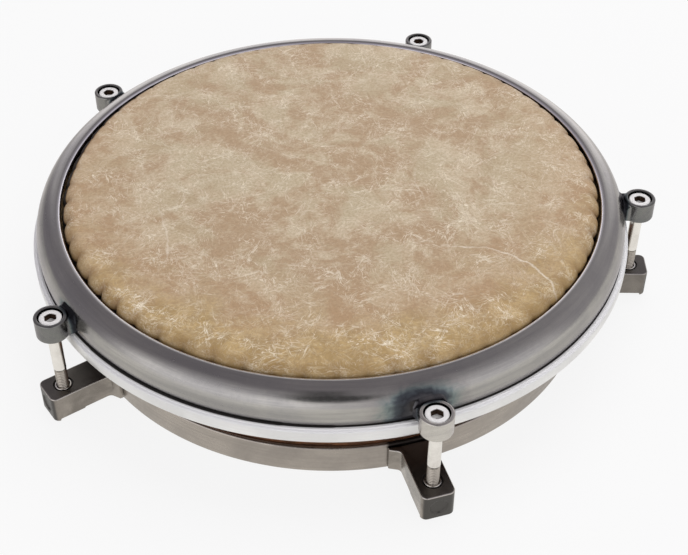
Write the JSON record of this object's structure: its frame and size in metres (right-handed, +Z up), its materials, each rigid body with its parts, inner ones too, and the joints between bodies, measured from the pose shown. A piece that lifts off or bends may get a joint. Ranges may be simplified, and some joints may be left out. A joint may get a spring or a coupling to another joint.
{
  "type": "travel conga",
  "caption": "Shallow travel conga: film head over a bearing shell, held by a rolled rim, hoop and tension bolts on a frame ring with arms.",
  "frame": {"origin": "middle of the playing surface, on the drum's axis", "axes": "+Z up along the drum's axis, out of the playing surface; -Y towards the arm at the front of the picture"},
  "size_m": [0.3672, 0.3642, 0.0785],
  "materials": {
    "film": "matt fibre-patterned film",
    "rim": "dark smoked satin plating",
    "ear": "dark smoked plating with heat tint",
    "hoop": "bright satin",
    "shell": "glossy brown lacquer",
    "frame": "dark satin plating",
    "arm": "dark satin casting",
    "nickel": "warm bright nickel",
    "zinc": "zinc plated"
  },
  "bodies": {
    "drum": {"drumhead": "film", "crown_hoop": "hoop", "bearing_shell": "shell", "frame_ring": "frame", "arm_1": "arm", "receiver_nut_1": "nickel", "arm_screw_1": "zinc", "screw_washer_1": "zinc", "arm_2": "arm", "receiver_nut_2": "nickel", "arm_screw_2": "zinc", "screw_washer_2": "zinc", "arm_3": "arm", "receiver_nut_3": "nickel", "arm_screw_3": "zinc", "screw_washer_3": "zinc", "arm_4": "arm", "receiver_nut_4": "nickel", "arm_screw_4": "zinc", "screw_washer_4": "zinc", "arm_5": "arm", "receiver_nut_5": "nickel", "arm_screw_5": "zinc", "screw_washer_5": "zinc"},
    "rim": {"tension_rim": "rim", "rim_ear_1": "ear", "rim_ear_2": "ear", "rim_ear_3": "ear", "rim_ear_4": "ear", "rim_ear_5": "ear", "bolt_washer_1": "zinc", "bolt_washer_2": "zinc", "bolt_washer_3": "zinc", "bolt_washer_4": "zinc", "bolt_washer_5": "zinc"},
    "bolt_1": {"tension_bolt_1": "nickel"},
    "bolt_2": {"tension_bolt_2": "nickel"},
    "bolt_3": {"tension_bolt_3": "nickel"},
    "bolt_4": {"tension_bolt_4": "nickel"},
    "bolt_5": {"tension_bolt_5": "nickel"}
  },
  "joints": [
    {"name": "rim_slide", "type": "slide", "parent": "drum", "child": "rim", "axis": [0, 0, 1], "range_m": [0, 0.01]},
    {"name": "bolt_1_turn", "type": "hinge", "parent": "rim", "child": "bolt_1", "pos_m": [0, -0.18, -0.0115], "axis": [0, 0, 1], "range_deg": [0, 2880]},
    {"name": "bolt_2_turn", "type": "hinge", "parent": "rim", "child": "bolt_2", "pos_m": [-0.17119, -0.05562, -0.0115], "axis": [0, 0, 1], "range_deg": [0, 2880]},
    {"name": "bolt_3_turn", "type": "hinge", "parent": "rim", "child": "bolt_3", "pos_m": [-0.1058, 0.14562, -0.0115], "axis": [0, 0, 1], "range_deg": [0, 2880]},
    {"name": "bolt_4_turn", "type": "hinge", "parent": "rim", "child": "bolt_4", "pos_m": [0.1058, 0.14562, -0.0115], "axis": [0, 0, 1], "range_deg": [0, 2880]},
    {"name": "bolt_5_turn", "type": "hinge", "parent": "rim", "child": "bolt_5", "pos_m": [0.17119, -0.05562, -0.0115], "axis": [0, 0, 1], "range_deg": [0, 2880]}
  ],
  "couplings": [
    {"joint": "bolt_1_turn", "follows": "rim_slide", "rad_per_m": 5026.5},
    {"joint": "bolt_2_turn", "follows": "rim_slide", "rad_per_m": 5026.5},
    {"joint": "bolt_3_turn", "follows": "rim_slide", "rad_per_m": 5026.5},
    {"joint": "bolt_4_turn", "follows": "rim_slide", "rad_per_m": 5026.5},
    {"joint": "bolt_5_turn", "follows": "rim_slide", "rad_per_m": 5026.5}
  ]
}
